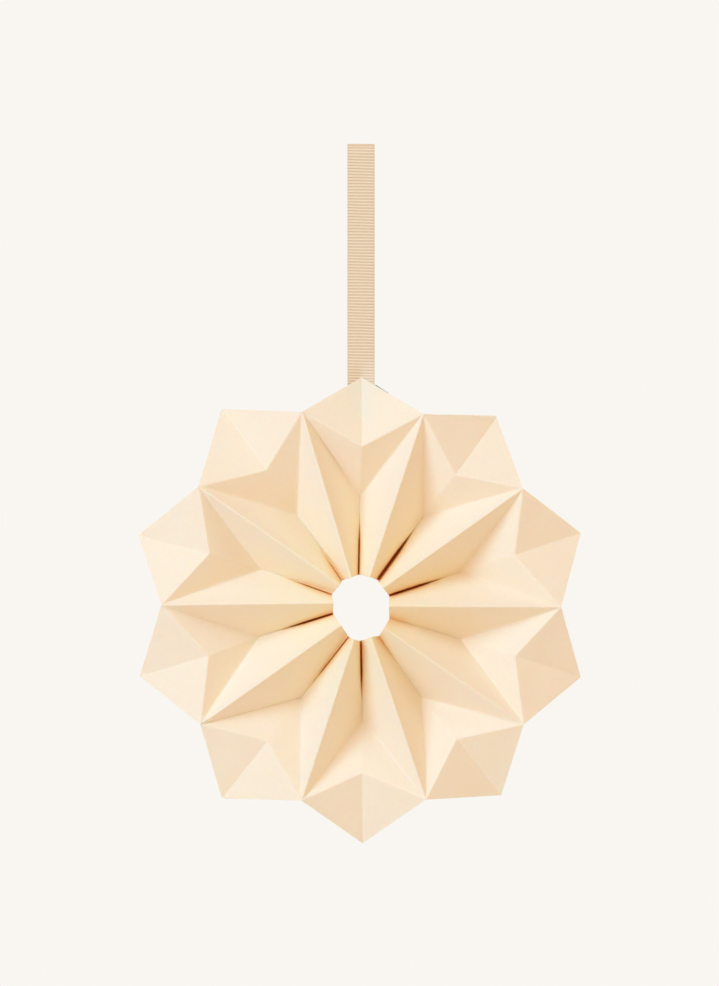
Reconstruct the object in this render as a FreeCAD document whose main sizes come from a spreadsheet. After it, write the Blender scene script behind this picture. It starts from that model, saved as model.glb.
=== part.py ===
import FreeCAD, Part
import math
import os

import Sketcher

# Pleated paper star hanging from a ribbon loop.
# Millimetres. Z is up, X runs to the right and the front of the star faces -Y.
# The origin is the inside top of the ribbon loop, where a hook bears.

Vector = FreeCAD.Vector

# Names for the ends of a sketch element, the sketch origin and the sketch's upright axis.
START, END, CENTRE = 1, 2, 3
AXES = -1
UPRIGHT = -2

doc = FreeCAD.newDocument("paper_star")
sheet = doc.addObject("Spreadsheet::Sheet", "sizes")

# Driving dimensions: alias, value, meaning.
# A radius is measured from the axis of the star in its own plane.
# A setback is measured backwards from the notches of the rim.
DRIVING = [
    ("pleat_count", "10", "pleats round the ring"),
    ("paper_thickness", "0.3", "thickness of the sheet"),
    ("tip_radius", "86.5", "pointed tips of the rim"),
    ("tip_setback", "13", "pointed tips of the rim"),
    ("notch_radius", "74.5", "notches of the rim, front of each pleat"),
    ("outer_fold_radius", "60.5", "outer corner of the reverse fold"),
    ("outer_fold_setback", "3", "outer corner of the reverse fold"),
    ("inner_fold_radius", "39.6", "inner corner of the reverse fold"),
    ("inner_fold_setback", "16.6", "inner corner of the reverse fold"),
    ("hole_ridge_radius", "11.3", "front fold of each pleat at the centre hole"),
    ("hole_ridge_rise", "5.5", "how far that fold end stands in front of the notches"),
    ("hole_valley_radius", "11.6", "rear fold of each pleat at the centre hole"),
    ("hole_valley_setback", "18.3", "rear fold of each pleat at the centre hole"),
    ("slit_depth", "2.2", "how far the walls of a petal gape at the hole before they lie together"),
    ("ribbon_width", "10", "width of the ribbon"),
    ("ribbon_thickness", "0.6", "thickness of one layer of ribbon"),
    ("ribbon_drop", "84", "inside top of the loop down to the tip of the star"),
    ("loop_radius", "3", "inside radius of the loop over the hook"),
    ("loop_closing", "76", "depth at which the two legs of the loop meet"),
    ("ribbon_joined", "3", "length of the joined legs before they bend to the petal"),
    ("glued_length", "18", "ribbon ends glued to the back of the top petal"),
]

# Values that follow from the driving dimensions, worked out in the sheet.
DERIVED = [
    ("half_pleat", "=180 / pleat_count", "angle from a tip to a notch"),
    ("petal_slope", "=(tip_setback - outer_fold_setback) / (tip_radius - outer_fold_radius)",
     "rearward slope along the middle of a petal"),
    ("petal_tilt", "=atan(petal_slope)", "the same slope as an angle"),
    ("side_slope",
     "=(tip_setback + petal_slope * (notch_radius * cos(half_pleat) - tip_radius))"
     " / (notch_radius * sin(half_pleat))",
     "forward slope of a petal away from its middle"),
    ("side_tilt", "=atan(side_slope * cos(petal_tilt))", "that slope square to the middle fold"),
    ("fold_depth", "=paper_thickness / cos(side_tilt)", "sheet measured through the middle fold"),
    ("tip_back_drop", "=ribbon_drop + fold_depth * sin(petal_tilt)", "rear corner of the top tip"),
    ("star_forward", "=ribbon_thickness + tip_setback + fold_depth * cos(petal_tilt)",
     "notches of the rim in front of the ribbon"),
    ("star_drop", "=ribbon_drop + tip_radius", "axis of the star below the hook"),
]

for row, (alias, value, meaning) in enumerate(DRIVING + DERIVED, start=1):
    sheet.set("A%d" % row, meaning)
    sheet.set("B%d" % row, value)
    sheet.setAlias("B%d" % row, alias)
doc.recompute()


def size(alias):
    """A value of the sheet as a plain number."""
    value = sheet.get(alias)
    return float(getattr(value, "Value", value))


# The sheet of paper is described on two kinds of upright plane through the star's axis.
# A tip plane cuts a petal in half and a notch plane lies between two petals.
# Plane 0 is the tip plane that points straight up, plane 1 the notch plane beside it.
HALF_PLEAT = math.radians(size("half_pleat"))
THICKNESS = size("paper_thickness")
REACH = 4 * size("tip_radius")


def on_plane(plane, radius, setback):
    """Point at a radius and a setback on one of the planes through the axis."""
    angle = plane * HALF_PLEAT
    return Vector(radius * math.sin(angle), setback, radius * math.cos(angle))


TIP = on_plane(0, size("tip_radius"), size("tip_setback"))
OUTER_FOLD = on_plane(0, size("outer_fold_radius"), size("outer_fold_setback"))
INNER_FOLD = on_plane(0, size("inner_fold_radius"), size("inner_fold_setback"))
HOLE_VALLEY = on_plane(0, size("hole_valley_radius"), size("hole_valley_setback"))
NOTCH = on_plane(1, size("notch_radius"), 0)
HOLE_RIDGE = on_plane(1, size("hole_ridge_radius"), -size("hole_ridge_rise"))


def forward_normal(first, second, third):
    """Unit normal of the facet through three points, turned to the front."""
    normal = (second - first).cross(third - first)
    normal.normalize()
    return normal if normal.y < 0 else normal * -1


def block_behind(point, normal):
    """Large block that fills the space on the far side of a plane from its normal."""
    block = Part.makeBox(2 * REACH, 2 * REACH, REACH, Vector(-REACH, -REACH, 0))
    block.Placement = FreeCAD.Placement(point, FreeCAD.Rotation(Vector(0, 0, 1), normal * -1))
    return block


def behind_facet(corners, depth):
    """Space behind a flat facet, starting at a depth in the paper."""
    normal = forward_normal(*corners)
    return block_behind(corners[0] - normal * depth, normal)


WALL = (NOTCH, INNER_FOLD, HOLE_RIDGE)


def walls_meeting():
    """Point at the hole where the flat wall reaches the middle of its petal."""
    normal = forward_normal(*WALL)
    start = HOLE_VALLEY
    return start - Vector(0, (start - NOTCH).dot(normal) / normal.y, 0)


def behind_wall(depth):
    """Space behind one wall of a petal, starting at a depth in the paper.

    The wall is flat from the front fold to the middle of the petal. There it turns along lines
    that fan out from the reverse fold, and lies against the other wall of the petal, in a
    pressed double layer that ends at the rear fold.
    """
    meeting = walls_meeting()
    gape = size("slit_depth")
    lip = meeting + (HOLE_RIDGE - meeting).normalize() * gape
    throat = meeting + Vector(0, gape, 0)
    turning = behind_facet((INNER_FOLD, lip, throat), depth)
    pressed = block_behind(Vector(depth, 0, 0), Vector(-1, 0, 0))
    return behind_facet(WALL, depth).common(turning).common(pressed)


def behind_sheet(depth):
    """Space behind half a pleat, starting at a depth in the paper.

    The petal and the reversed facet meet in a crest, and both meet the wall in a valley.
    """
    petal = behind_facet((TIP, OUTER_FOLD, NOTCH), depth)
    reverse = behind_facet((OUTER_FOLD, INNER_FOLD, NOTCH), depth)
    return petal.common(reverse).fuse(behind_wall(depth))


def behind_fold():
    """Space behind the rear fold that runs to the hole, one thickness of paper behind its line."""
    along = (HOLE_VALLEY - INNER_FOLD).normalize()
    outer = INNER_FOLD - along * (2 * THICKNESS) + Vector(0, THICKNESS, 0)
    inner = HOLE_VALLEY + along * REACH + Vector(0, THICKNESS, 0)
    far = Vector(0, REACH, 0)
    outline = Part.makePolygon([outer, inner, inner + far, outer + far, outer])
    return Part.Face(outline).extrude(Vector(REACH, 0, 0))


def half_pleat():
    """Half of one pleat: the sheet from the middle of a petal to the next notch plane.

    It is cut square to the paper along the rim, and square to the star round the centre hole.
    """
    corners = [on_plane(plane, radius, -REACH / 2) for plane, radius in ((0, 0), (0, REACH), (1, REACH))]
    wedge = Part.Face(Part.makePolygon(corners + [corners[0]])).extrude(Vector(0, REACH, 0))
    paper = wedge.common(behind_sheet(0)).cut(behind_sheet(THICKNESS)).cut(behind_fold())
    rim_normal = forward_normal(TIP, OUTER_FOLD, NOTCH).cross(NOTCH - TIP)
    rim_normal = rim_normal if rim_normal.dot(TIP) > 0 else rim_normal * -1
    hole_normal = Vector(0, 1, 0).cross(HOLE_VALLEY - HOLE_RIDGE)
    hole_normal = hole_normal if hole_normal.dot(TIP) < 0 else hole_normal * -1
    for point, normal in ((TIP, rim_normal), (HOLE_RIDGE, hole_normal)):
        paper = paper.common(block_behind(point, normal))
    return paper


def folded_sheet():
    """The pleated ring as one closed solid, folded from one sheet."""
    half = half_pleat()
    petal = half.fuse(half.mirror(Vector(0, 0, 0), Vector(1, 0, 0)))
    petals = []
    for pleat in range(int(size("pleat_count"))):
        turned = petal.copy()
        turned.rotate(Vector(0, 0, 0), Vector(0, 1, 0), 2 * pleat * size("half_pleat"))
        petals.append(turned)
    ring = petals[0].fuse(petals[1:]).removeSplitter()
    return ring.Solids[0]


star = doc.addObject("Part::Feature", "FoldedStar")
star.Label = "folded_star"
star.Shape = folded_sheet()
star.Placement = FreeCAD.Placement(
    Vector(0, -size("star_forward"), -size("star_drop")), FreeCAD.Rotation())

# Ribbon: one loop over the hook, its two legs joined above the star, bent to the
# shape of the top petal and glued to its back.
ribbon = doc.addObject("PartDesign::Body", "HangingRibbon")
ribbon.Label = "hanging_ribbon"


def origin_plane(body, role):
    """One of the body's own origin planes."""
    for feature in body.Origin.OriginFeatures:
        if feature.Role == role:
            return feature
    raise ValueError(role)


def new_sketch(name, role):
    """Sketch on an origin plane of the ribbon."""
    sketch = ribbon.newObject("Sketcher::SketchObject", name)
    sketch.AttachmentSupport = [(origin_plane(ribbon, role), "")]
    sketch.MapMode = "FlatFace"
    return sketch


def drive(sketch, expression, kind, *arguments):
    """Adds a named dimension to a sketch and ties it to the sheet."""
    index = sketch.addConstraint(Sketcher.Constraint(kind, *arguments))
    sketch.setExpression("Constraints[%d]" % index, expression)
    return index



def leg_lean(radius):
    """Angle of a leg of the loop from the vertical."""
    return math.asin(radius / (size("loop_closing") - size("loop_radius")))


def loop_outline():
    """Side view of the loop: sketch X is backwards and sketch Y is up."""
    sketch = new_sketch("LoopOutline", "YZ_Plane")
    inner = size("loop_radius")
    layer = size("ribbon_thickness")
    close = size("loop_closing")
    joined = close + size("ribbon_joined")
    centre = Vector(0, -inner, 0)
    normal = Vector(0, 0, 1)
    lean = leg_lean(inner)
    arcs = []
    for radius in (inner, inner + layer):
        circle = Part.Circle(centre, normal, radius)
        arcs.append(sketch.addGeometry(Part.ArcOfCircle(circle, -lean, math.pi + lean), False))

    def tangent_point(radius, side):
        return centre + Vector(side * radius * math.cos(lean), -radius * math.sin(lean), 0)

    def line(start, end):
        return sketch.addGeometry(Part.LineSegment(start, end), False)

    meeting = Vector(0, -close, 0)
    inner_legs = [line(tangent_point(inner, side), meeting) for side in (1, -1)]
    outer_legs = [line(tangent_point(inner + layer, side), Vector(side * layer, -close, 0))
                  for side in (1, -1)]
    straight = [line(Vector(side * layer, -close, 0), Vector(side * layer, -joined, 0))
                for side in (1, -1)]
    foot = line(Vector(layer, -joined, 0), Vector(-layer, -joined, 0))

    for arc, legs in ((arcs[0], inner_legs), (arcs[1], outer_legs)):
        sketch.addConstraint(Sketcher.Constraint("Tangent", arc, START, legs[0], START))
        sketch.addConstraint(Sketcher.Constraint("Tangent", arc, END, legs[1], START))
    sketch.addConstraint(Sketcher.Constraint("PointOnObject", arcs[0], CENTRE, UPRIGHT))
    sketch.addConstraint(Sketcher.Constraint("Coincident", arcs[0], CENTRE, arcs[1], CENTRE))
    sketch.addConstraint(Sketcher.Constraint("Coincident", inner_legs[0], END, inner_legs[1], END))
    sketch.addConstraint(Sketcher.Constraint("PointOnObject", inner_legs[0], END, UPRIGHT))
    for i in (0, 1):
        sketch.addConstraint(Sketcher.Constraint("Coincident", outer_legs[i], END, straight[i], START))
        sketch.addConstraint(Sketcher.Constraint("Coincident", straight[i], END, foot, (START, END)[i]))
        sketch.addConstraint(Sketcher.Constraint("Vertical", straight[i]))
    sketch.addConstraint(Sketcher.Constraint("Symmetric", foot, START, foot, END, UPRIGHT))
    sketch.addConstraint(Sketcher.Constraint("Horizontal", outer_legs[0], END, outer_legs[1], END))
    sketch.addConstraint(Sketcher.Constraint("Horizontal", outer_legs[0], END, inner_legs[0], END))
    drive(sketch, "sizes.loop_radius", "Radius", arcs[0], inner)
    drive(sketch, "sizes.loop_radius + sizes.ribbon_thickness", "Radius", arcs[1], inner + layer)
    drive(sketch, "sizes.loop_radius", "DistanceY", arcs[0], CENTRE, AXES, START, inner)
    drive(sketch, "sizes.loop_closing", "DistanceY", inner_legs[0], END, AXES, START, close)
    drive(sketch, "sizes.loop_closing + sizes.ribbon_joined", "DistanceY", foot, START, AXES, START, joined)
    drive(sketch, "2 * sizes.ribbon_thickness", "DistanceX", foot, END, foot, START, 2 * layer)
    return sketch


def band_section(name, bend, depth):
    """Section of the two joined layers, bent forward by an angle on each side of the middle.

    The front corner in the middle of the band lies on the sketch origin.
    """
    sketch = new_sketch(name, "XY_Plane")
    half = size("ribbon_width") / 2
    drop = half * math.tan(math.radians(size("side_tilt"))) if bend else 0
    front = [Vector(-half, -drop, 0), Vector(0, 0, 0), Vector(half, -drop, 0)]
    rear = [p + Vector(0, depth, 0) for p in reversed(front)]
    points = front + rear
    lines = []
    for i, point in enumerate(points):
        following = points[(i + 1) % len(points)]
        lines.append(sketch.addGeometry(Part.LineSegment(point, following), False))
    for i, current in enumerate(lines):
        following = lines[(i + 1) % len(lines)]
        sketch.addConstraint(Sketcher.Constraint("Coincident", current, END, following, START))
    front_left, front_right, right, rear_right, rear_left, left = lines
    sketch.addConstraint(Sketcher.Constraint("Coincident", front_left, END, AXES, START))
    sketch.addConstraint(Sketcher.Constraint("PointOnObject", rear_right, END, UPRIGHT))
    sketch.addConstraint(Sketcher.Constraint("Vertical", right))
    sketch.addConstraint(Sketcher.Constraint("Vertical", left))
    sketch.addConstraint(Sketcher.Constraint("Parallel", front_right, rear_right))
    sketch.addConstraint(Sketcher.Constraint("Parallel", front_left, rear_left))
    sketch.addConstraint(Sketcher.Constraint("Horizontal", front_left, START, front_right, END))
    drive(sketch, "sizes.ribbon_width", "DistanceX", front_left, START, front_right, END, 2 * half)
    if bend:
        drive(sketch, "sizes.ribbon_width / 2 * tan(sizes.side_tilt)",
              "DistanceY", front_right, END, front_right, START, drop)
        drive(sketch, "2 * sizes.ribbon_thickness / cos(sizes.side_tilt)",
              "DistanceY", front_right, END, rear_right, START, depth)
    else:
        sketch.addConstraint(Sketcher.Constraint("Horizontal", front_right))
        drive(sketch, "2 * sizes.ribbon_thickness",
              "DistanceY", front_right, END, rear_right, START, depth)
    return sketch


loop_sketch = loop_outline()
loop_pad = ribbon.newObject("PartDesign::Pad", "Loop")
loop_pad.Profile = loop_sketch
loop_pad.Midplane = True
loop_pad.setExpression("Length", "sizes.ribbon_width")

layers = 2 * size("ribbon_thickness")
flat_section = band_section("FlatSection", False, layers)
flat_section.setExpression("AttachmentOffset.Base.y", "-sizes.ribbon_thickness")
flat_section.setExpression("AttachmentOffset.Base.z", "-(sizes.loop_closing + sizes.ribbon_joined)")

bent_section = band_section("BentSection", True, layers / math.cos(math.radians(size("side_tilt"))))
bent_section.AttachmentOffset = FreeCAD.Placement(
    Vector(0, 0, 0), FreeCAD.Rotation(Vector(1, 0, 0), -size("petal_tilt")))
bent_section.setExpression("AttachmentOffset.Base.y", "-sizes.ribbon_thickness")
bent_section.setExpression("AttachmentOffset.Base.z", "-sizes.tip_back_drop")
bent_section.setExpression("AttachmentOffset.Rotation.Angle", "-sizes.petal_tilt")
doc.recompute()

bend = ribbon.newObject("PartDesign::AdditiveLoft", "Bend")
bend.Profile = flat_section
bend.Sections = [(bent_section, [""])]
bend.Ruled = True
doc.recompute()

glued = ribbon.newObject("PartDesign::Pad", "GluedEnds")
glued.Profile = bent_section
glued.Reversed = True
glued.setExpression("Length", "sizes.glued_length")
ribbon.Placement = FreeCAD.Placement()
doc.recompute()

PARTS = [star, ribbon]

for item in doc.Objects:
    if "Invalid" in item.State or "Error" in item.State:
        raise RuntimeError("%s has failed" % item.Label)
for item in PARTS:
    if item.Shape.isNull() or not item.Shape.isValid() or len(item.Shape.Solids) != 1:
        raise RuntimeError("%s is not one valid solid" % item.Label)

os.makedirs("parts", exist_ok=True)
for item in PARTS:
    item.Shape.exportStep("parts/%s.step" % item.Label)
    box = item.Shape.optimalBoundingBox(True, False)
    print("%s volume %.1f faces %d box %.2f %.2f %.2f to %.2f %.2f %.2f" % (
        item.Label, item.Shape.Volume, len(item.Shape.Faces),
        box.XMin, box.YMin, box.ZMin, box.XMax, box.YMax, box.ZMax))
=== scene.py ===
import math

import bpy
import numpy as np
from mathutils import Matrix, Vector


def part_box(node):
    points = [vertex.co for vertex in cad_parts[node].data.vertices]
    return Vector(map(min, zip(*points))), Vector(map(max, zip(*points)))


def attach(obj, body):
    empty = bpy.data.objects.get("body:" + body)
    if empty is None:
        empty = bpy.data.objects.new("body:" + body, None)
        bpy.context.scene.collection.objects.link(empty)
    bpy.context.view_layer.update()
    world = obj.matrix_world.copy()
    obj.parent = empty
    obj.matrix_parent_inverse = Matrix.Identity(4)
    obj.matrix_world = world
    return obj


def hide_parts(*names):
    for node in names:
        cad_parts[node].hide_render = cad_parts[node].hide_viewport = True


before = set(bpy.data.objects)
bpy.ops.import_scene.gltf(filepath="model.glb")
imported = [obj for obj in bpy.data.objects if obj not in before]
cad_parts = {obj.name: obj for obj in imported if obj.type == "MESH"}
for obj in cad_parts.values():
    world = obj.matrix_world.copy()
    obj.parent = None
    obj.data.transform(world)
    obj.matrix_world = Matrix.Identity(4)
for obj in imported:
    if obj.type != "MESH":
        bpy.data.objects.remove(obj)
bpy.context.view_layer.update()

# A pleated paper star that hangs from a loop of ribbed ribbon.
# Metres. The star faces -Y, Z is up and the origin is the inside top of the ribbon loop.

MILLIMETRE = 0.001

# How the photograph is read: its scale, its middle, and the middle of the star in it.
PIXEL = 0.00037
IMAGE_WIDTH = 719
IMAGE_MIDDLE = (359.5, 493.0)
STAR_MIDDLE = (361.0, 606.3)
VIEW_DISTANCE = 2.4
SENSOR_WIDTH = 36

# Corners of the folds in the photograph, one for each pleat, clockwise from the petal at the top.
# A notch and a hole ridge lie between their own petal and the next one.
TIPS = [(361.5, 377.5), (496.5, 418), (580.5, 533), (580.5, 677), (501, 795),
        (362.5, 843), (222, 798.5), (140, 676), (138.5, 535), (221.5, 409)]
OUTER_FOLDS = [(361.8, 446.5), (455, 475), (514.5, 555), (515, 656), (456.5, 739),
               (362, 773), (267.5, 741), (208.5, 655.5), (209.5, 553.5), (266, 470.5)]
INNER_FOLDS = [(360, 498), (422.5, 518), (458, 573), (460, 639), (421.5, 697),
               (362, 719), (301.5, 697.5), (260, 636.5), (262, 569.5), (298, 516)]
HOLE_VALLEYS = [(358.5, 574), (377.7, 579.3), (389.1, 594.8), (389, 618), (379, 635),
                (360.7, 640), (349, 636), (333, 613), (331.5, 594), (341.5, 580)]
NOTCHES = [(423.5, 414), (523, 488.5), (561, 607), (523.5, 724.5), (426, 799.5),
           (301.5, 800.5), (200.5, 724.5), (161.5, 605), (198.5, 486.5), (302, 412)]
HOLE_RIDGES = [(369.5, 577), (383, 588), (389, 606), (384, 628), (371, 637),
               (354, 639.5), (341, 625), (333.5, 603), (340, 585), (351, 577.5)]
PLEATS = len(TIPS)

# Setbacks of those corners behind the notches, as in the solid model.
TIP_SETBACK = 0.013
OUTER_SETBACK = 0.003
INNER_SETBACK = 0.0166
HOLE_VALLEY_SETBACK = 0.0183
HOLE_RIDGE_RISE = 0.0055
PAPER_THICKNESS = 0.0003

# How far each corner of this hand-folded star lies behind its place in the solid, in millimetres.
TIP_CHANGES = [-0.5, 1.4, 1.1, 1.4, 1.4, 0.5, -0.3, 1.1, -1.0, -0.3]
OUTER_CHANGES = [-1.5, -0.1, -0.4, -1.0, -1.1, 0.1, 1.9, -0.3, -1.9, 1.6]
INNER_CHANGES = [0.3, -0.1, -0.4, -0.9, -1.0, -0.7, 0.2, 0.8, -0.1, 2.2]
NOTCH_CHANGES = [-0.5, 0.5, -0.4, -0.5, -1.1, 0.3, 2.2, -0.4, -1.8, -1.1]
RIDGE_CHANGES = [0.2, -0.3, -0.5, -0.4, 1.1, -0.3, -1.3, 0.3, 0.5, 0.9]

# How softly the folds turn, as a difference in depth over which two facets blend.
RIDGE_SOFTNESS = 0.0006
REVERSE_SOFTNESS = 0.00025
WALL_SOFTNESS = 0.0015
PETAL_SOFTNESS = 0.0001
VALLEY_SOFTNESS = 0.0008

# Within this distance a point counts as lying on the middle fold itself.
FOLD_LINE = 0.000001

# The open slit in front of each pressed fold: half its width at the hole in millimetres, and
# the share of the way from the reverse fold to the hole at which it starts.
SLIT_WIDTHS = [0.6, 1.05, 0.85, 0.05, 0.3, 0.75, 0.45, 0.75, 0.5, 0.38]
SLIT_STARTS = [0.15, 0.1, 0.1, 0.5, 0.5, 0.15, 0.05, 0.15, 0.2, 0.35]
SLIT_GROWTH = 0.45
SLIT_LEAST = 0.02
SLIT_STEEPNESS = 7

# How strongly light shining through the pressed fold of each petal is painted into the paper as
# painted glow, how far beside it in millimetres, and the wide faint painted warmth of bounced light
# on the walls towards the hole.
PAINTED_GLOWS = [1.0, 1.0, 1.0, 0.5, 0.7, 1.0, 0.85, 1.0, 0.9, 0.75]
PAINTED_GLOW_REACHES = [0.8, 1.2, 1.0, 2.0, 1.2, 0.9, 1.0, 1.0, 1.0, 1.4]
PAINTED_WARMTH = 0.3
PAINTED_WARMTH_RADIUS = 0.048

star_low, star_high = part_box("folded_star")
ribbon_low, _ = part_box("hanging_ribbon")
STAR_Z = 0.5 * (star_low[2] + star_high[2])

# Depth of the notches, as in the solid model, and the place of the camera.
NOTCH_Y = -0.01389
CAMERA_X = (IMAGE_MIDDLE[0] - STAR_MIDDLE[0]) * PIXEL
CAMERA_Z = STAR_Z + (STAR_MIDDLE[1] - IMAGE_MIDDLE[1]) * PIXEL


def seen_at(pixels, depth):
    """Place of picture points at given depths: each runs out from the middle of the view in
    proportion to its distance from the camera."""
    pixels = np.asarray(pixels, float)
    depth = np.broadcast_to(depth, pixels.shape[:-1])
    scale = PIXEL * (VIEW_DISTANCE + depth) / VIEW_DISTANCE
    x = CAMERA_X + (pixels[..., 0] - IMAGE_MIDDLE[0]) * scale
    z = CAMERA_Z - (pixels[..., 1] - IMAGE_MIDDLE[1]) * scale
    return np.stack([x, depth, z], axis=-1)


def uneven(setback, changes):
    """Depths of one kind of corner: its setback in the solid and the change of each, in mm."""
    return NOTCH_Y + setback + MILLIMETRE * np.array(changes)


tips = seen_at(TIPS, uneven(TIP_SETBACK, TIP_CHANGES))
outer_folds = seen_at(OUTER_FOLDS, uneven(OUTER_SETBACK, OUTER_CHANGES))
inner_folds = seen_at(INNER_FOLDS, uneven(INNER_SETBACK, INNER_CHANGES))
hole_valleys = seen_at(HOLE_VALLEYS, uneven(HOLE_VALLEY_SETBACK, np.zeros(PLEATS)))
notches = seen_at(NOTCHES, uneven(0, NOTCH_CHANGES))
hole_ridges = seen_at(HOLE_RIDGES, uneven(-HOLE_RIDGE_RISE, RIDGE_CHANGES))


def facet_plane(first, second, third):
    """Depth of the plane through three corners, y = a + b x + c z, as its three numbers."""
    corners = np.array([first, second, third])
    rows = np.stack([np.ones(3), corners[:, 0], corners[:, 2]], axis=1)
    return np.linalg.solve(rows, corners[:, 1])


def depth_of(plane, x, z):
    """Depth of a plane at points of the picture, from its three numbers."""
    return plane[0] + plane[1] * x + plane[2] * z


def soft_near(first, second, softness):
    """The nearer of two surfaces, blended by a parabola where their depths differ by less than
    the softness."""
    overlap = np.maximum(softness - np.abs(first - second), 0)
    return np.minimum(first, second) - overlap ** 2 / (4 * softness)


def soft_far(first, second, softness):
    """The farther of two surfaces, blended in the same way."""
    return -soft_near(-first, -second, softness)


def beside_fold(pleat, x, z):
    """Distance from the middle fold of a petal's walls, and the share of the way along it from
    the reverse fold to the hole."""
    start = inner_folds[pleat][[0, 2]]
    fold = hole_valleys[pleat][[0, 2]] - start
    length = np.hypot(*fold)
    from_start = np.stack([x - start[0], z - start[1]])
    share = (from_start[0] * fold[0] + from_start[1] * fold[1]) / length ** 2
    distance = np.abs(from_start[0] * fold[1] - from_start[1] * fold[0]) / length
    return distance, share


def slit_depth(pleat, distance, share):
    """How far the walls of a petal turn in beside their middle fold.

    The slit widens from its start to the hole. In it the paper turns down from its flat wall
    steeply at first and then less, as one minus the cube of the share of the width that is left.
    """
    grown = np.clip((share - SLIT_STARTS[pleat]) / SLIT_GROWTH, SLIT_LEAST, 1)
    width = MILLIMETRE * SLIT_WIDTHS[pleat] * grown
    left = np.clip(distance / width, 0, 1)
    return SLIT_STEEPNESS * width * (1 - left ** 3)


def painted_glow_at(pleat, x, z):
    """Share of painted glow, up to painted shade at the fold: it fades with the distance from the
    fold and towards the reverse fold, and a faint painted warmth of bounced light fades from the
    middle of the star outwards."""
    distance, share = beside_fold(pleat, x, z)
    along_fold = np.clip((share - SLIT_STARTS[pleat]) / SLIT_GROWTH, 0, 1)
    painted_glow = PAINTED_GLOWS[pleat] * along_fold * np.exp(-distance / (MILLIMETRE * PAINTED_GLOW_REACHES[pleat]))
    painted_warmth = PAINTED_WARMTH * np.clip(1 - np.hypot(x, z - STAR_Z) / PAINTED_WARMTH_RADIUS, 0, 1)
    return painted_glow + painted_warmth * (1 - painted_glow)


def petal_depth(pleat, x, z):
    """Depth of one petal and its two walls as if it were alone.

    Each half has a petal facet, a reversed facet and a flat wall. The petal facets meet in a
    valley, the reversed ones in a crest between them, and the walls turn into the slit of the
    pressed fold that runs to the hole.
    """
    petal = []
    reverse = []
    walls = []
    for notch in (pleat - 1, pleat):
        tip, outer_fold, inner_fold = tips[pleat], outer_folds[pleat], inner_folds[pleat]
        petal.append(depth_of(facet_plane(tip, outer_fold, notches[notch]), x, z))
        reverse.append(depth_of(facet_plane(outer_fold, inner_fold, notches[notch]), x, z))
        walls.append(depth_of(facet_plane(notches[notch], inner_fold, hole_ridges[notch]), x, z))
    rim = soft_near(petal[0], petal[1], PETAL_SOFTNESS)
    crest = soft_far(reverse[0], reverse[1], REVERSE_SOFTNESS)
    outer = soft_far(rim, crest, REVERSE_SOFTNESS)
    distance, share = beside_fold(pleat, x, z)
    inner = soft_near(walls[0], walls[1], VALLEY_SOFTNESS) + slit_depth(pleat, distance, share)
    fold = inner_folds[pleat][1] + share * (hole_valleys[pleat][1] - inner_folds[pleat][1])
    inner = np.where(distance < FOLD_LINE, np.maximum(inner, fold), inner)
    return soft_near(outer, inner, WALL_SOFTNESS)


def unevenness(x, z):
    """Slight waves of hand-folded paper: three crossed sine waves of different lengths."""
    waves = 0.00009 * np.sin(190 * x + 60 * z + 0.7) * np.sin(170 * z - 40 * x)
    waves += 0.00005 * np.sin(420 * x - 210 * z + 2.1)
    waves += 0.00004 * np.sin(300 * z + 380 * x)
    return waves


# The one deep crease: its petal and side, and the depth and width of its groove.
CREASED = (6, 1)
CREASE_DEPTH = 0.0006
CREASE_WIDTH = 0.00022

# Shares of the way across a petal's half: close together beside its middle fold, where the
# first ones make the pressed fold, and again beside the ridge.
FIN_COLUMNS = 2
FOLD_SHARES = np.array([0, 0.0018, 0.0045, 0.009, 0.018, 0.028, 0.04, 0.055, 0.075, 0.1, 0.13])
OPEN_SHARES = np.linspace(0.16, 0.98, 16)
ACROSS = np.concatenate([FOLD_SHARES, OPEN_SHARES, 1 - FOLD_SHARES[4:0:-1], [1]])

# How many stations lie along each part of the middle fold, and how near its ends they begin.
TIP_STATIONS = (8, 0.025)
OUTER_STATIONS = (8, 0.03)
WALL_STATIONS = (18, 0.02)


def stations(count, fold_share):
    """Fractions from 0 to 1, even in the middle and close together beside a fold at each end."""
    near = fold_share * np.array([0, 0.1, 0.25, 0.5, 1.0])
    middle = np.linspace(fold_share, 1 - fold_share, count + 2)[1:-1]
    return np.concatenate([near, middle, 1 - near[::-1]])


def along(points, shares):
    """Points on a broken line, with shares of 0 to 1 between each pair of corners."""
    steps = np.arange(len(points) - 1)
    pieces = [points[i] + shares[i][:, None] * (points[i + 1] - points[i]) for i in steps]
    return np.concatenate([pieces[0]] + [p[1:] for p in pieces[1:]])


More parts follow.
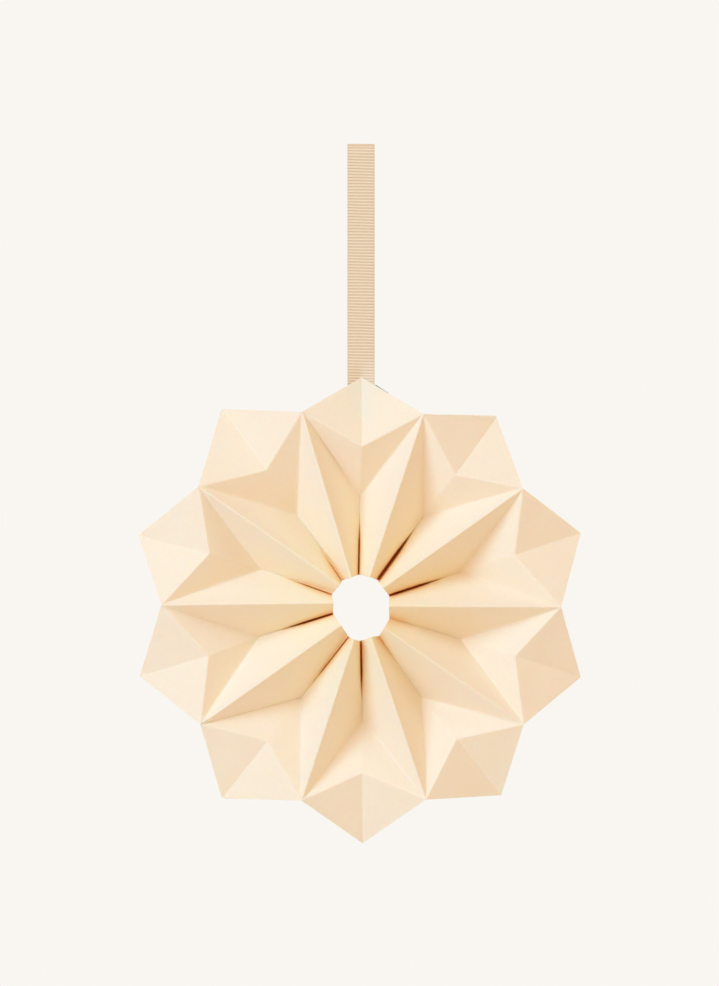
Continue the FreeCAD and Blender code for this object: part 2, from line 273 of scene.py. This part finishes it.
def half_petal(pleat, side):
    """Grid of one half of a petal: straight lines from its middle fold to the notch and the ridge.

    One parameter runs down the middle fold, tip to outer corner to inner corner to hole. The
    other runs across to the notch, or, for the wall, to the ridge between notch and hole. The
    depth at each grid point is that of the petal, or of its neighbour where that is farther.
    The creased side has a groove along the fold from the inner corner to the notch, with the
    section of a bell curve. Returns the points and their shares of painted glow.
    """
    notch = pleat if side > 0 else pleat - 1
    neighbour = (pleat + side) % PLEATS
    shares = [stations(*part) for part in (TIP_STATIONS, OUTER_STATIONS, WALL_STATIONS)]
    corners = (tips[pleat], outer_folds[pleat], inner_folds[pleat], hole_valleys[pleat])
    middle = along(np.array(corners), shares)
    still = len(shares[0]) + len(shares[1]) - 1
    ridge = notches[notch] + shares[2][:, None] * (hole_ridges[notch] - notches[notch])
    edge = np.concatenate([np.repeat(notches[notch][None], still, axis=0), ridge[1:]])
    plan = middle[:, None] + ACROSS[None, :, None] * (edge - middle)[:, None]
    x = plan[..., 0]
    z = plan[..., 2]
    own = petal_depth(pleat, x, z)
    other = petal_depth(neighbour, x, z)
    y = soft_far(own, other, RIDGE_SOFTNESS) + unevenness(x, z)
    if (pleat, side) == CREASED:
        beside = middle[still - 1, [0, 2]] - notches[notch][[0, 2]]
        offset = np.abs((x - notches[notch][0]) * beside[1] - (z - notches[notch][2]) * beside[0])
        y = y + CREASE_DEPTH * np.exp(-(offset / np.hypot(*beside) / CREASE_WIDTH) ** 2)
    painted_glow = painted_glow_at(pleat, x, z)
    painted_glow[:, :FIN_COLUMNS] = 0
    return np.stack([x, y, z], axis=-1), painted_glow


def grid_faces(rows, columns, start, turned):
    """Four-cornered faces of a grid of points, listed row by row."""
    index = start + np.arange(rows * columns).reshape(rows, columns)
    faces = np.stack([index[:-1, :-1], index[1:, :-1], index[1:, 1:], index[:-1, 1:]], axis=-1)
    faces = faces.reshape(-1, 4)
    return faces[:, ::-1] if turned else faces


def mesh_object(name, points, faces):
    """Object from an array of points and a list of faces, at the origin."""
    mesh = bpy.data.meshes.new(name)
    mesh.from_pydata(points.reshape(-1, 3).tolist(), [], faces)
    mesh.update()
    obj = bpy.data.objects.new(name, mesh)
    bpy.context.collection.objects.link(obj)
    return obj


def use_modifier(obj, modifier):
    """Applies a modifier to its object's mesh."""
    bpy.context.view_layer.objects.active = obj
    bpy.ops.object.modifier_apply(modifier=modifier.name)


def smooth(obj):
    """Shades all faces of an object smoothly."""
    obj.data.polygons.foreach_set("use_smooth", [True] * len(obj.data.polygons))
    obj.data.update()


def merged(obj, distance):
    """Joins the points of an object that lie within a distance."""
    weld = obj.modifiers.new("weld", "WELD")
    weld.merge_threshold = distance
    use_modifier(obj, weld)


WELD_DISTANCE = 0.000002


def make_star():
    """The whole ring of petals as one sheet, given the thickness of the paper to the rear.

    The painted glow stays on the front: the first half of the finished points is the rear of the
    sheet.
    """
    points = []
    faces = []
    painted_glows = []
    count = 0
    for pleat in range(PLEATS):
        for side in (-1, 1):
            grid, painted_glow = half_petal(pleat, side)
            painted_glows.append(painted_glow.reshape(-1))
            rows, columns = grid.shape[:2]
            faces.append(grid_faces(rows, columns, count, side > 0))
            points.append(grid.reshape(-1, 3))
            count += rows * columns
    star = mesh_object("paper_star", np.concatenate(points), np.concatenate(faces).tolist())
    attribute = star.data.attributes.new("painted_glow", "FLOAT", "POINT")
    attribute.data.foreach_set("value", np.concatenate(painted_glows))
    merged(star, WELD_DISTANCE)
    sheet = star.modifiers.new("thickness", "SOLIDIFY")
    sheet.thickness = PAPER_THICKNESS
    sheet.offset = -1
    sheet.use_even_offset = False
    use_modifier(star, sheet)
    painted_glow = star.data.attributes["painted_glow"].data
    shares = np.empty(len(painted_glow))
    painted_glow.foreach_get("value", shares)
    shares[:len(shares) // 2] = 0
    painted_glow.foreach_set("value", shares)
    smooth(star)
    return star


# Second layer of paper where the strip is glued: picture points of each outline, and how far
# each lies behind the facet in front of it, in millimetres.
LAP_SIDE = [(427, 415, 0.3), (470, 421, 0.3), (494, 420.5, 0.3),
            (497.6, 417.6, 0.5), (497, 415.3, 0.9), (450, 414.4, 0.7)]
# The top patch is drawn dark brown, as painted shade of the gap beside the ribbon.
LAP_TOP = [(374, 385.2, 0.3), (375, 389, 0.3), (387, 396, 0.3),
           (388.5, 392.6, 0.5), (376, 384.4, 0.5)]
LAP_THICKNESS = 0.0002


def make_lap(name, outline, pleat, notch):
    """Flat patch behind one petal facet: its outline at the depth of the facet's plane and a
    little more, and again at its own thickness behind."""
    outline = np.array(outline)
    front = seen_at(outline[:, :2], NOTCH_Y)
    plane = facet_plane(tips[pleat], outer_folds[pleat], notches[notch])
    front[:, 1] = depth_of(plane, front[:, 0], front[:, 2]) + MILLIMETRE * outline[:, 2]
    rear = front + (0, LAP_THICKNESS, 0)
    count = len(front)
    ring = list(range(count))
    faces = [ring, [count + i for i in reversed(ring)]]
    faces += [[i, i + count, (i + 1) % count + count, (i + 1) % count] for i in ring]
    return mesh_object(name, np.concatenate([front, rear]), faces)


# Ribbon: width, thickness and the shape of its loop, as in the solid model.
RIBBON_WIDTH = 0.010
RIBBON_THICKNESS = 0.0006
LOOP_RADIUS = 0.003
LOOP_CLOSING = 0.076
RIBBON_JOINED = 0.003
GLUED_LENGTH = 0.018

# Length of the petal's middle from tip to outer corner, the slope of that line, and the slope
# of the petal's halves to its sides.
PETAL_LENGTH = 0.026
PETAL_SLOPE = (TIP_SETBACK - OUTER_SETBACK) / PETAL_LENGTH
SIDE_SLOPE = 0.3033

# Ribs across the ribbon.
RIB_PITCH = 0.00111
RIB_HEIGHT = 0.00013
SELVEDGE = 0.0006


def ribbon_line():
    """Middle line of the ribbon in side view, with the share of its bend to the petal.

    From one glued end up the front leg, round the loop and down the rear leg to the other end.
    Straight runs, one arc over the hook, and below the join a bend that leans with the petal.
    """
    half = RIBBON_THICKNESS / 2
    tilt = math.atan(PETAL_SLOPE)
    lean = math.asin(LOOP_RADIUS / (LOOP_CLOSING - LOOP_RADIUS))
    radius = LOOP_RADIUS + half
    tip = ribbon_low[2] + GLUED_LENGTH * math.cos(tilt)
    joined = -LOOP_CLOSING - RIBBON_JOINED
    end_y = -GLUED_LENGTH * math.sin(tilt)
    end_z = tip - GLUED_LENGTH * math.cos(tilt)
    front = [(end_y - half, end_z, 1), (-half, tip, 1)]
    front += [(-half, joined, 0), (-half, -LOOP_CLOSING, 0)]
    turn = np.linspace(math.pi + lean, -lean, 60)
    arc = [(radius * math.cos(a), -LOOP_RADIUS + radius * math.sin(a), 0) for a in turn]
    rear = [(y + 2 * half, z, bend) for y, z, bend in reversed(front)]
    return np.array(front + arc + rear)


def sample_line(line, step):
    """Points at even steps along a broken line, and their distance from its start."""
    length = np.concatenate([[0], np.cumsum(np.hypot(np.diff(line[:, 0]), np.diff(line[:, 1])))])
    count = int(length[-1] / step)
    distance = np.linspace(0, length[-1], count)
    return distance, np.stack([np.interp(distance, length, line[:, i]) for i in range(3)], axis=1)


def rib_profile(distance, across):
    """Height of the ribs as a share of the highest: a rounded wave along the ribbon that leans
    a little across it and fades at the flat selvedges."""
    lean = 0.0002 * across / RIBBON_WIDTH + 0.00006 * np.sin(distance * 330 + across * 260)
    wave = 0.5 + 0.5 * np.cos(2 * math.pi * (distance + lean) / RIB_PITCH)
    edge = np.clip((RIBBON_WIDTH / 2 - np.abs(across)) / SELVEDGE, 0, 1)
    return wave ** 0.8 * (0.35 + 0.65 * edge)


def make_ribbon():
    """Ribbed band along the ribbon's line: the line's normal times half the thickness and the
    height of the ribs, on each face, with the width across."""
    distance, line = sample_line(ribbon_line(), RIB_PITCH / 8)
    length = distance[-1]
    ahead = np.gradient(line[:, :2], distance, axis=0)
    ahead /= np.linalg.norm(ahead, axis=1)[:, None]
    normal = np.stack([-ahead[:, 1], ahead[:, 0]], axis=1)
    across = RIBBON_WIDTH / 2 * np.sin(np.linspace(-0.5, 0.5, 19) * math.pi)
    faces = []
    points = []
    d, u = np.meshgrid(distance, across, indexing="ij")
    bend = line[:, 2][:, None] * SIDE_SLOPE * np.sqrt(u ** 2 + 0.0003 ** 2)
    for side in (1, -1):
        height = side * (RIBBON_THICKNESS / 2 - RIB_HEIGHT * (1 - rib_profile(d, u)))
        y = line[:, 0][:, None] + normal[:, 0][:, None] * height - bend
        z = line[:, 1][:, None] + normal[:, 1][:, None] * height
        points.append(np.stack([u, y, z], axis=-1).reshape(-1, 3))
    rows, columns = d.shape
    count = rows * columns
    faces.append(grid_faces(rows, columns, 0, False))
    faces.append(grid_faces(rows, columns, count, True))
    index = np.arange(count).reshape(rows, columns)
    loop = np.concatenate([index[0], index[1:, -1], index[-1, -2::-1], index[-2:0:-1, 0]])
    following = np.roll(loop, -1)
    faces.append(np.stack([loop, following, following + count, loop + count], axis=1))
    ribbon = mesh_object("grosgrain_ribbon", np.concatenate(points), np.concatenate(faces).tolist())
    attribute = ribbon.data.attributes.new("rib", "FLOAT", "POINT")
    attribute.data.foreach_set("value", np.tile(rib_profile(d, u).reshape(-1), 2))
    smooth(ribbon)
    return ribbon, length


def new_material(name):
    """Empty material with one surface shader joined to its output."""
    material = bpy.data.materials.new(name)
    material.use_nodes = True
    nodes = material.node_tree.nodes
    nodes.clear()
    output = nodes.new("ShaderNodeOutputMaterial")
    shader = nodes.new("ShaderNodeBsdfPrincipled")
    material.node_tree.links.new(shader.outputs["BSDF"], output.inputs["Surface"])
    return material, shader


def fibre_group():
    """Shared surface effect of both materials: fine fibres that vary the tone and the height."""
    group = bpy.data.node_groups.new("fine_fibres", "ShaderNodeTree")
    for name in ("Scale", "Tone"):
        group.interface.new_socket(name, in_out="INPUT", socket_type="NodeSocketFloat")
    group.interface.new_socket("Colour", in_out="INPUT", socket_type="NodeSocketColor")
    group.interface.new_socket("Colour", in_out="OUTPUT", socket_type="NodeSocketColor")
    group.interface.new_socket("Height", in_out="OUTPUT", socket_type="NodeSocketFloat")
    nodes = group.nodes
    links = group.links
    source = nodes.new("NodeGroupInput")
    target = nodes.new("NodeGroupOutput")
    place = nodes.new("ShaderNodeTexCoord")
    fine = nodes.new("ShaderNodeTexNoise")
    fine.inputs["Detail"].default_value = 4.0
    links.new(place.outputs["Object"], fine.inputs["Vector"])
    links.new(source.outputs["Scale"], fine.inputs["Scale"])
    centred = nodes.new("ShaderNodeMath")
    centred.operation = "SUBTRACT"
    centred.inputs[1].default_value = 0.5
    links.new(fine.outputs["Fac"], centred.inputs[0])
    scaled = nodes.new("ShaderNodeMath")
    scaled.operation = "MULTIPLY_ADD"
    scaled.inputs[2].default_value = 1.0
    links.new(centred.outputs[0], scaled.inputs[0])
    links.new(source.outputs["Tone"], scaled.inputs[1])
    tinted = nodes.new("ShaderNodeVectorMath")
    tinted.operation = "SCALE"
    links.new(source.outputs["Colour"], tinted.inputs[0])
    links.new(scaled.outputs[0], tinted.inputs["Scale"])
    links.new(tinted.outputs[0], target.inputs["Colour"])
    links.new(fine.outputs["Fac"], target.inputs["Height"])
    return group


def colour_ramp(nodes, stops):
    """Ramp through the given pairs of place and colour."""
    ramp = nodes.new("ShaderNodeValToRGB")
    elements = ramp.color_ramp.elements
    while len(elements) < len(stops):
        elements.new(1)
    for element, (place, colour) in zip(elements, stops):
        element.position = place
        element.color = colour
    return ramp


# Colours of the paper by its share of painted glow: its own colour on the open facets, then painted
# warm bounce light and painted glow beside the slits, and painted shade at the bottom of a slit.
PAPER_TINTS_WITH_PAINTED_GLOW = [
    (0.0, (0.972, 0.820, 0.593, 1)),
    (0.25, (0.985, 0.82, 0.53, 1)),
    (0.55, (0.97, 0.64, 0.28, 1)),
    (0.8, (0.85, 0.28, 0.05, 1)),
    (1.0, (0.50, 0.06, 0.003, 1)),
]

# Colours of the ribbon, from the bottom of the grooves between its ribs to their crests: painted
# shade in the grooves and painted light on the crests.
RIBBON_TINTS_WITH_PAINTED_SHADE = [
    (0.0, (0.62, 0.44, 0.26, 1)),
    (0.45, (0.835, 0.63, 0.39, 1)),
    (1.0, (0.92, 0.72, 0.465, 1)),
]


def paper_material(fibres):
    """Matte peach paper: its tint follows the share of painted glow, up to painted shade in the
    slits, with fine fibres over it.
    """
    material, shader = new_material("peach_paper")
    nodes = material.node_tree.nodes
    links = material.node_tree.links
    effect = nodes.new("ShaderNodeGroup")
    effect.node_tree = fibres
    effect.inputs["Scale"].default_value = 900.0
    effect.inputs["Tone"].default_value = 0.05
    # The attribute holds the painted glow and painted shade of the slits.
    painted_glow = nodes.new("ShaderNodeAttribute")
    painted_glow.attribute_name = "painted_glow"
    tint = colour_ramp(nodes, PAPER_TINTS_WITH_PAINTED_GLOW)
    links.new(painted_glow.outputs["Fac"], tint.inputs["Fac"])
    links.new(tint.outputs["Color"], effect.inputs["Colour"])
    links.new(effect.outputs["Colour"], shader.inputs["Base Color"])
    bump = nodes.new("ShaderNodeBump")
    bump.inputs["Strength"].default_value = 0.25
    bump.inputs["Distance"].default_value = 0.00005
    links.new(effect.outputs["Height"], bump.inputs["Height"])
    links.new(bump.outputs["Normal"], shader.inputs["Normal"])
    shader.inputs["Roughness"].default_value = 0.8
    shader.inputs["Specular IOR Level"].default_value = 0.12
    shader.inputs["Subsurface Weight"].default_value = 0.4
    shader.inputs["Subsurface Radius"].default_value = (1.0, 0.45, 0.2)
    shader.inputs["Subsurface Scale"].default_value = 0.0005
    return material


def painted_shade_paper(fibres):
    """Dull brown on the narrow edge of glued paper beside the ribbon: painted shade of the gap
    between the layers.
    """
    material, shader = new_material("painted_shade_edge")
    nodes = material.node_tree.nodes
    effect = nodes.new("ShaderNodeGroup")
    effect.node_tree = fibres
    effect.inputs["Scale"].default_value = 900.0
    effect.inputs["Tone"].default_value = 0.1
    # Dark brown: painted shade of the gap between the two paper layers.
    effect.inputs["Colour"].default_value = (0.13, 0.11, 0.09, 1)
    material.node_tree.links.new(effect.outputs["Colour"], shader.inputs["Base Color"])
    shader.inputs["Roughness"].default_value = 0.8
    return material


def ribbon_material(fibres):
    """Ribbed ribbon: its tint follows the height of the ribs, with painted shade in the grooves and
    painted light on the crests, and fine threads over it.
    """
    material, shader = new_material("grosgrain")
    nodes = material.node_tree.nodes
    links = material.node_tree.links
    effect = nodes.new("ShaderNodeGroup")
    effect.node_tree = fibres
    effect.inputs["Scale"].default_value = 2500.0
    effect.inputs["Tone"].default_value = 0.15
    height = nodes.new("ShaderNodeAttribute")
    height.attribute_name = "rib"
    tint = colour_ramp(nodes, RIBBON_TINTS_WITH_PAINTED_SHADE)
    links.new(height.outputs["Fac"], tint.inputs["Fac"])
    links.new(tint.outputs["Color"], effect.inputs["Colour"])
    links.new(effect.outputs["Colour"], shader.inputs["Base Color"])
    bump = nodes.new("ShaderNodeBump")
    bump.inputs["Strength"].default_value = 0.5
    bump.inputs["Distance"].default_value = 0.00005
    links.new(effect.outputs["Height"], bump.inputs["Height"])
    links.new(bump.outputs["Normal"], shader.inputs["Normal"])
    shader.inputs["Roughness"].default_value = 0.6
    return material


# Even warm light from all round, as a colour.
SURROUND = (0.70, 0.458, 0.265, 1)

# Soft cool lamps: direction from the middle of the star, colour and power in watts.
LAMP_DISTANCE = 2.4
LAMP_SIZE = 1.2
LAMPS = {
    "key_lamp": ((-0.55, -0.72, 0.42), (0.302, 0.598, 1.0), 49.9),
    "fill_lamp": ((0.60, -0.50, 0.60), (0.56, 0.80, 1.0), 9.9),
    "rear_lamp": ((0.45, 0.85, 0.30), (0.50, 0.76, 1.0), 36.0),
}

# Backdrop colour, the same as the plain ground of the photograph, and the floor's place.
BACKDROP = (0.947, 0.922, 0.880, 1)
FLOOR_REACH = 1.2
FLOOR_LEVEL = -0.75


def make_world():
    """Even light all round, and the plain backdrop where the camera or a gloss looks past the
    object."""
    world = bpy.data.worlds.new("studio")
    bpy.context.scene.world = world
    world.use_nodes = True
    nodes = world.node_tree.nodes
    links = world.node_tree.links
    nodes.clear()
    output = nodes.new("ShaderNodeOutputWorld")
    ambient = nodes.new("ShaderNodeBackground")
    ambient.inputs["Color"].default_value = SURROUND
    backdrop = nodes.new("ShaderNodeBackground")
    backdrop.inputs["Color"].default_value = BACKDROP
    rays = nodes.new("ShaderNodeLightPath")
    seen = rays.outputs["Is Camera Ray"]
    for kind in ("Is Transmission Ray", "Is Glossy Ray"):
        either = nodes.new("ShaderNodeMath")
        either.operation = "MAXIMUM"
        links.new(seen, either.inputs[0])
        links.new(rays.outputs[kind], either.inputs[1])
        seen = either.outputs[0]
    mix = nodes.new("ShaderNodeMixShader")
    links.new(seen, mix.inputs["Fac"])
    links.new(ambient.outputs[0], mix.inputs[1])
    links.new(backdrop.outputs[0], mix.inputs[2])
    links.new(mix.outputs[0], output.inputs["Surface"])


def make_lamps():
    """Square soft lamps, each aimed at the middle of the star."""
    middle = Vector((0, NOTCH_Y, STAR_Z))
    for name, (direction, colour, power) in LAMPS.items():
        lamp = bpy.data.lights.new(name, "AREA")
        lamp.shape = "SQUARE"
        lamp.size = LAMP_SIZE
        lamp.color = colour
        lamp.energy = power
        obj = bpy.data.objects.new(name, lamp)
        bpy.context.collection.objects.link(obj)
        outward = Vector(direction).normalized()
        obj.location = middle + LAMP_DISTANCE * outward
        obj.rotation_euler = (-outward).to_track_quat("-Z", "Y").to_euler()


def make_floor():
    """Plain pale floor well below the hanging star."""
    corners = FLOOR_REACH * np.array([(-1, -1, 0), (1, -1, 0), (1, 1, 0), (-1, 1, 0)])
    floor = mesh_object("floor", corners + (0, 0, FLOOR_LEVEL), [(0, 1, 2, 3)])
    material, shader = new_material("floor")
    shader.inputs["Base Color"].default_value = (0.85, 0.83, 0.79, 1)
    shader.inputs["Roughness"].default_value = 0.9
    floor.data.materials.append(material)


def make_camera():
    """Level camera straight in front, as wide as the photograph at the depth of the loop."""
    camera = bpy.data.cameras.new("camera")
    camera.sensor_fit = "HORIZONTAL"
    camera.sensor_width = SENSOR_WIDTH
    camera.lens = SENSOR_WIDTH * VIEW_DISTANCE / (IMAGE_WIDTH * PIXEL)
    obj = bpy.data.objects.new("camera", camera)
    bpy.context.collection.objects.link(obj)
    obj.location = (CAMERA_X, -VIEW_DISTANCE, CAMERA_Z)
    obj.rotation_euler = (math.pi / 2, 0, 0)
    camera.clip_end = 20
    bpy.context.scene.camera = obj


make_camera()
make_world()
make_lamps()
make_floor()

fibres = fibre_group()
paper = paper_material(fibres)
star = make_star()
star.data.materials.append(paper)
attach(star, "root")
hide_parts("folded_star")

for name, outline, pleat in (("lap_side", LAP_SIDE, 1), ("lap_top", LAP_TOP, 0)):
    lap = make_lap(name, outline, pleat, 0)
    # The side patch is plain paper; the top patch gets the painted shade.
    lap.data.materials.append(paper if name == "lap_side" else painted_shade_paper(fibres))
    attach(lap, "root")

ribbon, ribbon_length = make_ribbon()
ribbon.data.materials.append(ribbon_material(fibres))
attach(ribbon, "root")
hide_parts("hanging_ribbon")

bpy.context.scene.view_settings.view_transform = "Standard"
